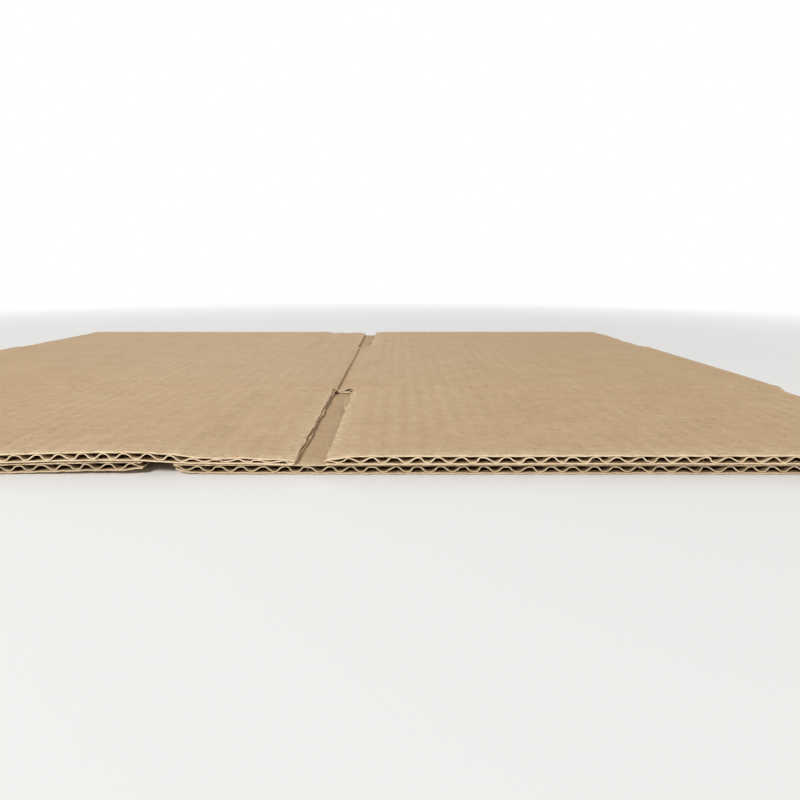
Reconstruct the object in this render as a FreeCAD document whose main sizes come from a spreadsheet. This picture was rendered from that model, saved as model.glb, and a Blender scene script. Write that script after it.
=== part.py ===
"""A slotted carton of single wall corrugated board, glued into a tube and folded flat.

The blank is one sheet: two long panels and two short ones, with a flap at both ends of each, and a
narrow lap that closes the tube. Folded flat it is two boards thick, with a fold at the left and right.
X runs across the panels, Y along the flutes and Z up. The origin is on the floor, under the middle.
All lengths are in millimetres.
"""

import FreeCAD, Part
import Sketcher
import os

from FreeCAD import Vector

# Driving dimensions, as alias, value and meaning
DIMENSIONS = [
    ("long_panel", "250", "width of the two long panels"),
    ("short_panel", "205", "width of the two short panels, and twice the depth of every flap"),
    ("panel_height", "150", "height of the panels between the flap scores"),
    ("board", "2.9", "thickness of the board"),
    ("liner", "0.45", "thickness of each liner"),
    ("medium", "0.35", "thickness of the fluted medium"),
    ("pitch", "6.5", "distance from one flute to the next"),
    ("flank_angle", "49", "slope of a flute's flanks, in degrees"),
    ("tip_width", "1.1", "width of a flute's tip, inside"),
    ("shoulder_drop", "0.45", "how far a flute's shoulders are from its tip"),
    ("layer_gap", "0.2", "space between the two layers of board"),
    ("fold_wall", "1.9", "thickness of the crushed board around a fold"),
    ("fold_bead", "0.7", "radius of the bead inside a fold"),
    ("fold_crush", "4", "width beside a fold where the flutes are crushed shut"),
    ("slot_width", "9.5", "width of the slots between the flaps"),
    ("crush_width", "33", "width of the strip of crushed flutes beside the joint"),
    ("crush_depth", "1", "how far that strip is pressed down in the flaps"),
    ("crush_ramp", "4", "width over which it slopes down"),
    ("crush_angle", "25", "slope of a crushed flute's flanks, in degrees"),
    ("crush_drop", "0.2", "how far a crushed flute's shoulders are from its tip"),
    ("lap_width", "35", "width of the glue lap"),
    ("lap_board", "1.3", "thickness of the crushed glue lap"),
    ("lap_bevel", "8", "how much shorter each end of the lap is at its free edge"),
    ("lap_root", "2", "how far the lap runs into the panel it belongs to"),
    ("lap_room", "1", "space past the lap's free edge"),
    ("joint_gap", "3", "space between the two panel edges at the joint"),
    ("score_width", "3", "width of the pressed score lines"),
    ("score_depth", "0.2", "depth of the pressed score lines"),
]

# Places worked out from the dimensions, as expressions over the spreadsheet
FLAT = "(dims.long_panel + dims.short_panel)"
LEFT = f"(-{FLAT} / 2)"
RIGHT = f"({FLAT} / 2)"
UPPER_SLOT = f"({LEFT} + dims.long_panel)"
LOWER_SLOT = f"({LEFT} + dims.short_panel)"
FLAP = "(dims.short_panel / 2)"
SCORE_Y = "(dims.panel_height / 2)"
END_Y = f"({SCORE_Y} + {FLAP})"
TOP = "(2 * dims.board + dims.layer_gap)"
UPPER_LAYER = "(dims.board + dims.layer_gap)"
CRUSH_END = f"({UPPER_SLOT} - dims.slot_width / 2)"
CRUSH_START = f"({CRUSH_END} - dims.crush_width)"
CORE = "(dims.board - 2 * dims.liner)"
CRUSHED_CORE = f"({CORE} - dims.crush_depth)"
OVERRUN = "(dims.board)"


def flank(core, angle, height):
    """Half the open width of a flute at a height above its liner.

    The medium between two flutes keeps its thickness along the flanks, which cross the middle of the
    core a quarter pitch from each flute's middle.
    """
    wall = f"dims.medium / (2 * sin({angle}))"
    return f"(dims.pitch / 4 - {wall} + ({core} / 2 - {height}) / tan({angle}))"


HALF_FLUTE = flank(CORE, "dims.flank_angle", "0")


def make_sheet(doc):
    """The spreadsheet of driving dimensions."""
    sheet = doc.addObject("Spreadsheet::Sheet", "dims")
    for row, (alias, value, meaning) in enumerate(DIMENSIONS, start=1):
        sheet.set(f"A{row}", meaning)
        sheet.set(f"B{row}", value)
        sheet.setAlias(f"B{row}", alias)
    doc.recompute()
    return sheet


class BoxBody:
    """Adds sketches and features to one body, each bound to the spreadsheet by expressions."""

    def __init__(self, doc, sheet, label):
        self.doc = doc
        self.sheet = sheet
        self.body = doc.addObject("PartDesign::Body", label)
        self.body.Label = label
        self.roles = {f.Role: f for f in self.body.Origin.OriginFeatures}

    def value(self, expression):
        """An expression's present value as a plain number."""
        result = self.sheet.evalExpression(expression)
        return float(getattr(result, "Value", result))

    def volume(self):
        """The body's volume so far, or zero before its first feature."""
        return self.body.Shape.Volume if self.body.Tip else 0.0

    def sketch(self, name, plane, offset="0"):
        """A sketch on an origin plane, moved along the plane's normal by an expression."""
        made = self.body.newObject("Sketcher::SketchObject", name)
        made.AttachmentSupport = [(self.roles[plane], "")]
        made.MapMode = "FlatFace"
        made.setExpression("AttachmentOffset.Base.z", offset)
        return made

    def fix(self, sketch, kind, name, expression, *references):
        """Adds a constraint and binds it to an expression."""
        index = sketch.addConstraint(Sketcher.Constraint(kind, *references, self.value(expression)))
        sketch.renameConstraint(index, name)
        sketch.setExpression(f"Constraints.{name}", expression)

    def fix_point(self, sketch, tag, edge, end, x, z):
        """Fixes one end of an edge at a place given by two expressions."""
        self.fix(sketch, "DistanceX", f"{tag}_x", x, -1, 1, edge, end)
        self.fix(sketch, "DistanceY", f"{tag}_y", z, -1, 1, edge, end)

    def outline(self, sketch, tag, corners):
        """A closed outline of straight edges, its corners given as pairs of expressions."""
        points = [Vector(self.value(x), self.value(y), 0) for x, y in corners]
        ends = points[1:] + points[:1]
        edges = [sketch.addGeometry(Part.LineSegment(a, b)) for a, b in zip(points, ends)]
        for edge, following in zip(edges, edges[1:] + edges[:1]):
            sketch.addConstraint(Sketcher.Constraint("Coincident", edge, 2, following, 1))
        for number, (edge, (x, y)) in enumerate(zip(edges, corners)):
            self.fix_point(sketch, f"{tag}_{number}", edge, 1, x, y)

    def rectangle(self, sketch, tag, x_low, x_high, y_low, y_high):
        """A rectangle between four expressions."""
        corners = [(x_low, y_low), (x_high, y_low), (x_high, y_high), (x_low, y_high)]
        self.outline(sketch, tag, corners)

    def flute(self, sketch, tag, centre, base, way, core, angle, drop):
        """The open space inside one flute: wide on its liner, with shoulders and a narrow tip.

        way is 1 where it stands on its liner and -1 where it hangs from it.
        """
        rise = f"({core} - dims.medium)"
        root, shoulder = flank(core, angle, "0"), flank(core, angle, f"({rise} - {drop})")
        tip = "dims.tip_width / 2"
        corners = [
            (f"{centre} - {root}", base),
            (f"{centre} + {root}", base),
            (f"{centre} + {shoulder}", f"{base} + {way} * ({rise} - {drop})"),
            (f"{centre} + {tip}", f"{base} + {way} * {rise}"),
            (f"{centre} - {tip}", f"{base} + {way} * {rise}"),
            (f"{centre} - {shoulder}", f"{base} + {way} * ({rise} - {drop})"),
        ]
        self.outline(sketch, tag, corners)

    def finish_feature(self, feature, before, adds):
        """Recomputes, and stops if a feature has failed or has changed nothing."""
        self.body.Tip = feature
        self.doc.recompute()
        change = feature.Shape.Volume - before
        if not feature.isValid() or (change <= 0 if adds else change >= 0):
            raise RuntimeError(f"{feature.Name} changed the volume by {change:.3f}")

    def pad(self, name, sketch, length, midplane=False):
        """Adds material along the sketch's normal."""
        before = self.volume()
        made = self.body.newObject("PartDesign::Pad", name)
        made.Profile = sketch
        made.Midplane = midplane
        made.setExpression("Length", length)
        self.finish_feature(made, before, adds=True)
        return made

    def pocket(self, name, sketch, length=None, reversed_way=False):
        """Cuts against the sketch's normal, or right through the body where no length is given."""
        before = self.volume()
        made = self.body.newObject("PartDesign::Pocket", name)
        made.Profile = sketch
        made.Reversed = reversed_way
        if length is None:
            made.Type = "ThroughAll"
        else:
            made.setExpression("Length", length)
        self.finish_feature(made, before, adds=False)
        return made

    def pocket_both_ways(self, name, sketch):
        """Cuts right through the body on both sides of the sketch."""
        before = self.volume()
        made = self.body.newObject("PartDesign::Pocket", name)
        made.Profile = sketch
        made.Type = "ThroughAll"
        made.Midplane = True
        self.finish_feature(made, before, adds=False)
        return made

    def flute_row(self, name, first, shift, floor, roof, low, high):
        """Pairs of flutes one pitch apart, as many as fit between low and high.

        first is the middle of one standing flute, and the hanging one beside it is shift away.
        """
        middle, reach = f"({first} + {shift} / 2)", f"(dims.pitch / 4 + {HALF_FLUTE})"
        before_first = f"floor(({middle} - {reach} - {low}) / dims.pitch)"
        after_first = f"floor(({high} - {middle} - {reach}) / dims.pitch)"
        start = f"({first} - {before_first} * dims.pitch)"
        profile = self.sketch(f"{name}_profile", "XZ_Plane")
        shape = (CORE, "dims.flank_angle", "dims.shoulder_drop")
        self.flute(profile, "standing", start, floor, 1, *shape)
        self.flute(profile, "hanging", f"({start} + {shift})", roof, -1, *shape)
        pair = self.pocket_both_ways(f"{name}_pair", profile)
        before = self.volume()
        row = self.body.newObject("PartDesign::LinearPattern", name)
        row.Originals = [pair]
        row.Direction = (self.roles["X_Axis"], [""])
        row.Mode = "Spacing"
        row.Refine = False
        row.setExpression("Offset", "dims.pitch")
        row.setExpression("Occurrences", f"{before_first} + {after_first} + 1")
        self.finish_feature(row, before, adds=False)


def add_tube(box):
    """The two layers, joined by a round fold at each side."""
    profile = box.sketch("tube_profile", "XZ_Plane")
    radius, top = box.value(f"{TOP} / 2"), box.value(TOP)
    left, right = box.value(LEFT) + radius, box.value(RIGHT) - radius
    bottom_line = profile.addGeometry(Part.LineSegment(Vector(left, 0, 0), Vector(right, 0, 0)))
    right_fold = profile.addGeometry(
        Part.Arc(Vector(right, 0, 0), Vector(right + radius, radius, 0), Vector(right, top, 0))
    )
    top_line = profile.addGeometry(Part.LineSegment(Vector(right, top, 0), Vector(left, top, 0)))
    left_fold = profile.addGeometry(
        Part.Arc(Vector(left, top, 0), Vector(left - radius, radius, 0), Vector(left, 0, 0))
    )
    loop = [bottom_line, right_fold, top_line, left_fold]
    for edge, following in zip(loop, loop[1:] + loop[:1]):
        profile.addConstraint(Sketcher.Constraint("Tangent", edge, 2, following, 1))
    box.fix_point(profile, "right_hub", right_fold, 3, f"{RIGHT} - {TOP} / 2", f"{TOP} / 2")
    box.fix_point(profile, "left_hub", left_fold, 3, f"{LEFT} + {TOP} / 2", f"{TOP} / 2")
    box.fix(profile, "Radius", "fold_radius", f"{TOP} / 2", right_fold)
    box.pad("folded_tube", profile, f"2 * {END_Y}", midplane=True)


def add_space_between_layers(box):
    """The thin space from fold to fold, with a bead inside each fold."""
    profile = box.sketch("between_layers_profile", "XZ_Plane")
    box.rectangle(
        profile,
        "space",
        f"{LEFT} + dims.fold_wall + dims.fold_bead",
        f"{RIGHT} - dims.fold_wall - dims.fold_bead",
        "dims.board",
        UPPER_LAYER,
    )
    box.pocket_both_ways("between_layers", profile)
    beads = box.sketch("fold_bead_profile", "XZ_Plane")
    for tag, centre in (
        ("left", f"{LEFT} + dims.fold_wall + dims.fold_bead"),
        ("right", f"{RIGHT} - dims.fold_wall - dims.fold_bead"),
    ):
        middle = Vector(box.value(centre), box.value(f"{TOP} / 2"), 0)
        circle = beads.addGeometry(Part.Circle(middle, Vector(0, 0, 1), box.value("dims.fold_bead")))
        box.fix_point(beads, tag, circle, 3, centre, f"{TOP} / 2")
        box.fix(beads, "Radius", f"{tag}_radius", "dims.fold_bead", circle)
    box.pocket_both_ways("fold_beads", beads)


def add_flutes(box):
    """The open flutes of both layers, standing on one liner and hanging from the other in turn."""
    low, high = f"({LEFT} + dims.fold_crush)", f"({RIGHT} - dims.fold_crush)"
    joint_side = f"({UPPER_SLOT} + dims.lap_root)"
    floor, roof = "dims.liner", "(dims.board - dims.liner)"
    upper_floor, upper_roof = f"({UPPER_LAYER} + dims.liner)", f"({TOP} - dims.liner)"
    half, quarter = "dims.pitch / 2", "dims.pitch / 4"
    right_first = f"({UPPER_SLOT} + 3 * {quarter})"
    box.flute_row("right_flutes", right_first, half, upper_floor, upper_roof, joint_side, high)
    left_first = f"({CRUSH_START} - {half})"
    box.flute_row("left_flutes", left_first, f"(-{half})", upper_floor, upper_roof, low, CRUSH_START)
    box.flute_row("lower_flutes", f"({LOWER_SLOT} - {quarter})", half, floor, roof, low, high)


def add_crushed_strip(box):
    """The strip beside the joint slot, pressed down in the flaps, with its flattened flutes."""
    dip = box.sketch("crushed_dip_profile", "XZ_Plane", SCORE_Y)
    pressed = f"({TOP} - dims.crush_depth)"
    above = f"({TOP} + {OVERRUN})"
    corners = [
        (CRUSH_START, above),
        (CRUSH_START, TOP),
        (f"{CRUSH_START} + dims.crush_ramp", pressed),
        (CRUSH_END, pressed),
        (CRUSH_END, above),
    ]
    box.outline(dip, "dip", corners)
    cuts = [box.pocket("crushed_dip", dip, reversed_way=True)]
    flutes = box.sketch("crushed_flute_profile", "XZ_Plane", SCORE_Y)
    floor, roof = f"({UPPER_LAYER} + dims.liner)", f"({pressed} - dims.liner)"
    shape = (CRUSHED_CORE, "dims.crush_angle", "dims.crush_drop")
    for number in range(int(box.value("floor(dims.crush_width / dims.pitch)"))):
        standing = f"({CRUSH_START} + {number + 0.5} * dims.pitch)"
        hanging = f"({CRUSH_START} + {number + 1} * dims.pitch)"
        box.flute(flutes, f"standing_{number}", standing, floor, 1, *shape)
        box.flute(flutes, f"hanging_{number}", hanging, roof, -1, *shape)
    cuts.append(box.pocket("crushed_flutes", flutes, reversed_way=True))
    return cuts


def add_slots(box):
    """The slots between the front flaps: one in each layer, and a notch at each fold."""
    front, root = f"(-{END_Y} - {OVERRUN})", f"(-{SCORE_Y})"
    half = "dims.slot_width / 2"
    through_layer = "dims.board + dims.layer_gap / 2"
    upper = box.sketch("upper_slot_profile", "XY_Plane", TOP)
    box.rectangle(upper, "slot", f"{UPPER_SLOT} - {half}", f"{UPPER_SLOT} + {half}", front, root)
    lower = box.sketch("lower_slot_profile", "XY_Plane")
    box.rectangle(lower, "slot", f"{LOWER_SLOT} - {half}", f"{LOWER_SLOT} + {half}", front, root)
    notches = box.sketch("fold_notch_profile", "XY_Plane", TOP)
    box.rectangle(notches, "left", f"{LEFT} - {OVERRUN}", f"{LEFT} + {half}", front, root)
    box.rectangle(notches, "right", f"{RIGHT} - {half}", f"{RIGHT} + {OVERRUN}", front, root)
    return [
        box.pocket("upper_slot", upper, through_layer),
        box.pocket("lower_slot", lower, through_layer, reversed_way=True),
        box.pocket("fold_notches", notches),
    ]


def repeat_at_rear(box, cuts):
    """The rear flaps are the front ones mirrored."""
    before = box.volume()
    mirrored = box.body.newObject("PartDesign::Mirrored", "rear_flaps")
    mirrored.Originals = cuts
    mirrored.MirrorPlane = (box.roles["XZ_Plane"], [""])
    box.finish_feature(mirrored, before, adds=False)


def add_glue_joint(box):
    """The lap on the right panel, stuck under the left panel, and the space between their edges."""
    free_edge = f"({UPPER_SLOT} - dims.lap_width)"
    room = box.sketch("lap_room_profile", "XY_Plane", UPPER_LAYER)
    box.rectangle(
        room, "room", f"{free_edge} - dims.lap_room", UPPER_SLOT, f"-{SCORE_Y}", SCORE_Y
    )
    box.pocket("lap_room", room, "dims.lap_board", reversed_way=True)
    lap = box.sketch("glue_lap_profile", "XY_Plane", UPPER_LAYER)
    corners = [
        (free_edge, f"-{SCORE_Y} + dims.lap_bevel"),
        (UPPER_SLOT, f"-{SCORE_Y}"),
        (f"{UPPER_SLOT} + dims.lap_root", f"-{SCORE_Y}"),
        (f"{UPPER_SLOT} + dims.lap_root", SCORE_Y),
        (UPPER_SLOT, SCORE_Y),
        (free_edge, f"{SCORE_Y} - dims.lap_bevel"),
    ]
    box.outline(lap, "lap", corners)
    box.pad("glue_lap", lap, "dims.lap_board")
    gap = box.sketch("joint_gap_profile", "XY_Plane", TOP)
    box.rectangle(gap, "gap", f"{UPPER_SLOT} - dims.joint_gap", UPPER_SLOT, f"-{SCORE_Y}", SCORE_Y)
    box.pocket("joint_gap", gap, "dims.board - dims.lap_board")


def add_scores(box):
    """The pressed lines that the flaps fold on, and the one between the two lower panels."""
    half = "dims.score_width / 2"
    start, end = f"{LEFT} - {OVERRUN}", f"{RIGHT} + {OVERRUN}"
    for name, height, reversed_way in (("top", TOP, False), ("bottom", "0", True)):
        lines = box.sketch(f"{name}_score_profile", "XY_Plane", height)
        box.rectangle(lines, "front", start, end, f"-{SCORE_Y} - {half}", f"-{SCORE_Y} + {half}")
        box.rectangle(lines, "rear", start, end, f"{SCORE_Y} - {half}", f"{SCORE_Y} + {half}")
        box.pocket(f"{name}_scores", lines, "dims.score_depth", reversed_way)
    panel = box.sketch("panel_score_profile", "XY_Plane")
    box.rectangle(
        panel, "line", f"{LOWER_SLOT} - {half}", f"{LOWER_SLOT} + {half}", f"-{SCORE_Y}", SCORE_Y
    )
    box.pocket("panel_score", panel, "dims.score_depth", reversed_way=True)


def make_flattened_box(doc, sheet):
    """The whole carton, which is one folded and glued piece."""
    box = BoxBody(doc, sheet, "flattened_box")
    add_tube(box)
    add_space_between_layers(box)
    repeat_at_rear(box, add_slots(box) + add_crushed_strip(box))
    add_glue_joint(box)
    add_scores(box)
    add_flutes(box)
    return box.body


def check(doc, bodies):
    """Stops if any object has failed, or a sub-part isn't one valid solid."""
    failed = [o.Name for o in doc.Objects if {"Invalid", "Error"} & set(o.State)]
    if failed:
        raise RuntimeError(f"these objects have failed: {failed}")
    for body in bodies:
        shape = body.Shape
        if shape.isNull() or not shape.isValid() or len(shape.Solids) != 1:
            raise RuntimeError(f"{body.Label} isn't one valid solid")


def main():
    """Builds the document and writes each sub-part's STEP file."""
    doc = FreeCAD.newDocument("flattened_carton")
    sheet = make_sheet(doc)
    bodies = [make_flattened_box(doc, sheet)]
    doc.recompute()
    check(doc, bodies)
    os.makedirs("parts", exist_ok=True)
    for body in bodies:
        body.Shape.exportStep(f"parts/{body.Label}.step")
        size = body.Shape.BoundBox
        print(body.Label, len(body.Shape.Faces), "faces", round(body.Shape.Volume), "mm3")
        print("size", round(size.XLength, 3), round(size.YLength, 3), round(size.ZLength, 3))


main()
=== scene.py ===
# %% [markdown]
# # A flattened cardboard box
#
# The real box is one sheet of corrugated board: two paper liners with a fluted medium glued between
# them. It is slotted, scored, glued into a tube at one lap and folded flat, so it lies two boards
# thick. Its cut edges show the flutes end on, and they are what gives the object its look.
#
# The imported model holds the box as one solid. This script keeps that solid's sizes and builds the
# papers themselves around it: liners, medium and lap, each as thick as paper and as uneven.
# Sizes are in millimetres until a mesh is made, because board is specified that way.

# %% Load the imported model
import math

import bpy
import numpy as np
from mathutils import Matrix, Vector


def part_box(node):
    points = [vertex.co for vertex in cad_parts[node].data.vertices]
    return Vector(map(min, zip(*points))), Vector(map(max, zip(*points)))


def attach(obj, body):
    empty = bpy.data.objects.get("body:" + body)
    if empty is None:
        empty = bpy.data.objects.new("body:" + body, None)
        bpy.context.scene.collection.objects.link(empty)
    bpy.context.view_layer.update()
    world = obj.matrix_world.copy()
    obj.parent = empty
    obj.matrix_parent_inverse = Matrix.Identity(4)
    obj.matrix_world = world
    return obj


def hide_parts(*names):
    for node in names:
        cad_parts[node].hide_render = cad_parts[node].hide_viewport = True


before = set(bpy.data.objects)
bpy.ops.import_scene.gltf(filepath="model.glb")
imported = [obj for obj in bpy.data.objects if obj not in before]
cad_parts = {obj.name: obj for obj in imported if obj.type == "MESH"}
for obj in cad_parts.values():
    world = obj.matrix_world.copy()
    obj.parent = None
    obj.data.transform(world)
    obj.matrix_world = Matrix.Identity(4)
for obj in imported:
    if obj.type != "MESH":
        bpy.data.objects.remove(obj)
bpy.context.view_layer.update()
MM = 0.001
box_low, box_high = (np.array(corner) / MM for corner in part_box("flattened_box"))
print("flattened box, mm:", box_low.round(1), box_high.round(1))

# %% [markdown]
# ## Sizes of the box
#
# X runs across the panels, Y along the flutes and Z up. The flap edges, the folds and the total
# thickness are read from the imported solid. The others are those that the solid was drawn with.
# The upper layer is a long panel at the left and a short one at the right, which meet at the joint.
# The lower layer is a short panel at the left and a long one at the right.

# %% Sizes of the board and its papers
END_Y = box_high[1]
FOLD_X = box_high[0]
TOP_Z = box_high[2]
BOARD = 2.9
LINER = 0.45
MEDIUM = 0.36
AIR = 0.03
THINNEST = 2 * LINER + MEDIUM + AIR
PITCH = 6.5
LAYER_GAP = TOP_Z - 2 * BOARD
print("gap between the layers:", round(LAYER_GAP, 2), "flutes across:", int(2 * FOLD_X / PITCH))

# %% Places of the scores, slots, joint, lap and folds
SCORE_Y = 75.0
SLOT = 9.5
UPPER_SLOT_X = 22.5
LOWER_SLOT_X = -22.5
JOINT_GAP = 3.0
CRUSH_WIDTH = 33.0
LAP_WIDTH = 35.0
LAP_BOARD = 1.3
LAP_BEVEL = 8.0
FOLD_WALL = 1.9
FOLD_BEAD = 0.7

FLAP_SIDE_X = FOLD_X - SLOT / 2
JOINT_LEFT = UPPER_SLOT_X - JOINT_GAP
LAP_EDGE = UPPER_SLOT_X - LAP_WIDTH
CRUSH_END = UPPER_SLOT_X - SLOT / 2
CRUSH_START = CRUSH_END - CRUSH_WIDTH
SHORT_EDGE = UPPER_SLOT_X + SLOT / 2
LOWER_EDGES = (LOWER_SLOT_X - SLOT / 2, LOWER_SLOT_X + SLOT / 2)
LEFT_CREST = CRUSH_START - PITCH / 2
RIGHT_CREST = UPPER_SLOT_X + 0.75 * PITCH
LOWER_CREST = LOWER_SLOT_X + PITCH / 4
print("upper slot:", CRUSH_END, "to", SHORT_EDGE, "lower slot:", *LOWER_EDGES)

# %% [markdown]
# ## Camera
#
# The camera looks along the flutes from close by through a wide lens, a little above the board, so
# the near edge shows every flute and the top runs away in steep perspective.

# %% Camera
CAMERA_BEFORE_EDGE = 160.0
CAMERA_ABOVE_TOP = 52.0
CAMERA_X = 48.5
CAMERA_PITCH = 12.5
LENS = 26.0
SENSOR = 36.0
NEAREST_SEEN = 0.005


def new_object(name, data):
    """An object in the scene, at the origin."""
    made = bpy.data.objects.new(name, data)
    bpy.context.scene.collection.objects.link(made)
    return made


camera_data = bpy.data.cameras.new("camera")
camera_data.lens = LENS
camera_data.sensor_width = SENSOR
camera_data.clip_start = NEAREST_SEEN
camera = new_object("camera", camera_data)
bpy.context.scene.camera = camera
camera.location = (
    CAMERA_X * MM,
    -(END_Y + CAMERA_BEFORE_EDGE) * MM,
    (TOP_Z + CAMERA_ABOVE_TOP) * MM,
)
camera.rotation_euler = (math.radians(90 - CAMERA_PITCH), 0, 0)
print("camera at", tuple(round(v, 3) for v in camera.location))

# %% [markdown]
# ## Small helpers
#
# Paper is never quite regular. Every unevenness here is worked out from a position and a seed, so
# sheets that lie on each other move together, and each run gives the same box.

# %% Helpers for smooth steps and unevenness
WAVES = 6
WAVES_REACH = 3.5
RAG_STEPS = 1024


def ease(value, low, high):
    """Rises smoothly from 0 at low to 1 at high."""
    share = np.clip((value - low) / (high - low), 0, 1)
    return share * share * (3 - 2 * share)


def mound(value, centre, reach):
    """1 at the centre, falling smoothly to 0 at the reach on both sides."""
    share = np.clip(np.abs(value - centre) / reach, 0, 1)
    return (1 + np.cos(math.pi * share)) / 2


def wobble(x, y, wavelength, seed):
    """Slow unevenness over a surface, between about -1 and 1."""
    chance = np.random.default_rng(seed)
    total = 0
    for _ in range(WAVES):
        turn, phase = chance.uniform(0, math.pi), chance.uniform(0, 2 * math.pi)
        length = wavelength * chance.uniform(0.6, 1.7)
        across = x * math.cos(turn) + y * math.sin(turn)
        total = total + np.sin(2 * math.pi * across / length + phase)
    return total / WAVES_REACH


def ragged(along, step, seed):
    """Unevenness along a line, with a new random height at every step, between -1 and 1."""
    heights = np.random.default_rng(seed).uniform(-1, 1, RAG_STEPS)
    place = (np.asarray(along) / step) % (RAG_STEPS - 1)
    return np.interp(place, np.arange(RAG_STEPS), heights)


def spaced(*stops):
    """Grid lines from stop to stop. Each stop after the first is a place and the largest step."""
    lines = [stops[0]]
    for place, step in stops[1:]:
        count = max(1, math.ceil(abs(place - lines[-1]) / step - 1e-6))
        lines += list(np.linspace(lines[-1], place, count + 1)[1:])
    return np.array(lines)


print("helpers ready:", spaced(0, (1, 0.5), (4, 1)))

# %% [markdown]
# ## Where the faces of the board lie
#
# Each of the three stretches of board, upper left, upper right and lower, is described by the
# heights of its inner and its outer face over the floor. The inner face looks at the other layer.
# Crushing, scoring and pinching bring the two faces together, and lifting moves both.

# %% The flaps, and the hump at their front edge
FLAP_RAMP = (SCORE_Y - 1.5, SCORE_Y + 9)
FRONT_RAMP = (SCORE_Y + 6, END_Y)
HUMP_HEIGHT = 0.95
HUMP_RISES = (LOWER_SLOT_X - 58, LOWER_SLOT_X - 12)
HUMP_FALLS = (LOWER_SLOT_X - 8, LOWER_SLOT_X + 12)
HUMP_SETTLES = (LOWER_SLOT_X + 10, LOWER_SLOT_X + 60)
HUMP_FALLS_BY = 0.88


def in_flaps(y):
    """0 over the panels and 1 out in the flaps."""
    return ease(np.abs(y), *FLAP_RAMP)


def towards_front(y):
    """0 at the front score and 1 at the front edge."""
    return ease(-y, *FRONT_RAMP)


def hump(x, y):
    """The corner of the lower left flap curls up beside its slot and lifts the layer above it."""
    fall = 1 - HUMP_FALLS_BY * ease(x, *HUMP_FALLS)
    settle = 1 - ease(x, *HUMP_SETTLES)
    return HUMP_HEIGHT * ease(x, *HUMP_RISES) * fall * settle * towards_front(y)


print("hump at its highest, mm:", round(float(hump(HUMP_RISES[1], -END_Y)), 2))

# %% Scores, pinches, ripples and dents
GROOVE, GROOVE_REACH = 0.5, 2.1
SHOULDER, SHOULDER_AWAY, SHOULDER_REACH = 0.07, 3.1, 1.6
WASHBOARD = 0.1
BRUISE_EVEN, BRUISE_UNEVEN, BRUISE_STEP = 0.62, 0.38, 7.0


def score_press(y):
    """How far the score lines press the board in."""
    line = np.abs(np.abs(y) - SCORE_Y)
    groove = GROOVE * mound(line, 0, GROOVE_REACH)
    return groove - SHOULDER * mound(line, SHOULDER_AWAY, SHOULDER_REACH)


def pinched(height, x, y, bruises):
    """The height that is left where the knives that cut the slots pinch the board.

    A bruise is a cut edge, how far from it the board is bruised, how deep, and a seed.
    """
    for edge, width, depth, seed in bruises:
        uneven = BRUISE_EVEN + BRUISE_UNEVEN * ragged(y, BRUISE_STEP, seed)
        height = height - depth * uneven * np.exp(-(((x - edge) / width) ** 2)) * in_flaps(y)
    return height


def ripple(x, crest):
    """The outer liner sinks a little between the flute tips that it is glued to."""
    return WASHBOARD * (1 - np.cos(2 * math.pi * (x - crest) / PITCH)) / 2


def dents(x, y, seed, count, depth):
    """Shallow knocks from handling."""
    chance = np.random.default_rng(seed)
    total = 0
    for _ in range(count):
        at_x, at_y = chance.uniform(-FOLD_X, FOLD_X), chance.uniform(-END_Y, END_Y)
        long, wide = chance.uniform(4, 14), chance.uniform(2, 5)
        turn = chance.uniform(0, math.pi)
        u = (x - at_x) * math.cos(turn) + (y - at_y) * math.sin(turn)
        v = (y - at_y) * math.cos(turn) - (x - at_x) * math.sin(turn)
        total = total + chance.uniform(0.3, 1) * np.exp(-((u / long) ** 2) - ((v / wide) ** 2))
    return depth * total


print("scores pressed in by, mm:", round(float(score_press(SCORE_Y)), 2))

# %% The three boards
LOWER_BRUISES = (
    (LOWER_EDGES[0], 3.6, 1.2, 31),
    (LOWER_EDGES[1], 3.0, 1.2, 32),
    (-FLAP_SIDE_X, 2.2, 1.0, 33),
    (FLAP_SIDE_X, 2.2, 1.0, 34),
)
LEFT_BRUISES = ((CRUSH_END, 2.2, 0.75, 41), (-FLAP_SIDE_X, 2.2, 1.0, 43))
RIGHT_BRUISES = ((SHORT_EDGE, 5.2, 1.3, 51), (FLAP_SIDE_X, 2.2, 1.0, 53))
LAYERS_APART = 0.6
LEAST_APART = 0.05
PARTED, PARTED_AT_EDGE = 0.12, 0.5
SCORED_INSIDE = 0.3
PANEL_SCORE, PANEL_SCORE_REACH = 0.25, 2.2
JOINT_PINCH, JOINT_PINCH_REACH = 0.35, 1.6
CRUSH_DEPTH = 0.72
CRUSH_RAMP = (CRUSH_START - 1, CRUSH_START + 5)
RIPPLE_LOST = 0.6
CRUMPLE = 0.3
SLOT_SAG = 0.35
SAG_RAMP = (CRUSH_END - 14, CRUSH_END)
LAP_RAMP = (LAP_EDGE - 5, LAP_EDGE)
LAP_BEND = (-(UPPER_SLOT_X + 2.2), -(UPPER_SLOT_X - 0.8))


def lower_board(x, y):
    """Inner and outer face of the lower layer."""
    inner = BOARD + hump(x, y) - score_press(y) * SCORED_INSIDE
    height = pinched(BOARD - score_press(y) * (1 - SCORED_INSIDE), x, y, LOWER_BRUISES)
    score = PANEL_SCORE * mound(x, LOWER_SLOT_X, PANEL_SCORE_REACH)
    height = height - score * (1 - in_flaps(y))
    height = height - ripple(x, LOWER_CREST) - dents(x, y, seed=33, count=14, depth=0.25)
    return inner, np.maximum(inner - np.maximum(height, THINNEST), 0.0)


def layers_part(x, y):
    """How far the upper layer stands clear of the lower one."""
    uneven = 0.5 + 0.5 * wobble(x, y, 110, 7)
    parting = PARTED + PARTED_AT_EDGE * towards_front(y) * uneven
    apart = LAYER_GAP + LAYERS_APART * np.abs(parting) * in_flaps(y)
    return np.maximum(apart, LEAST_APART)


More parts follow.
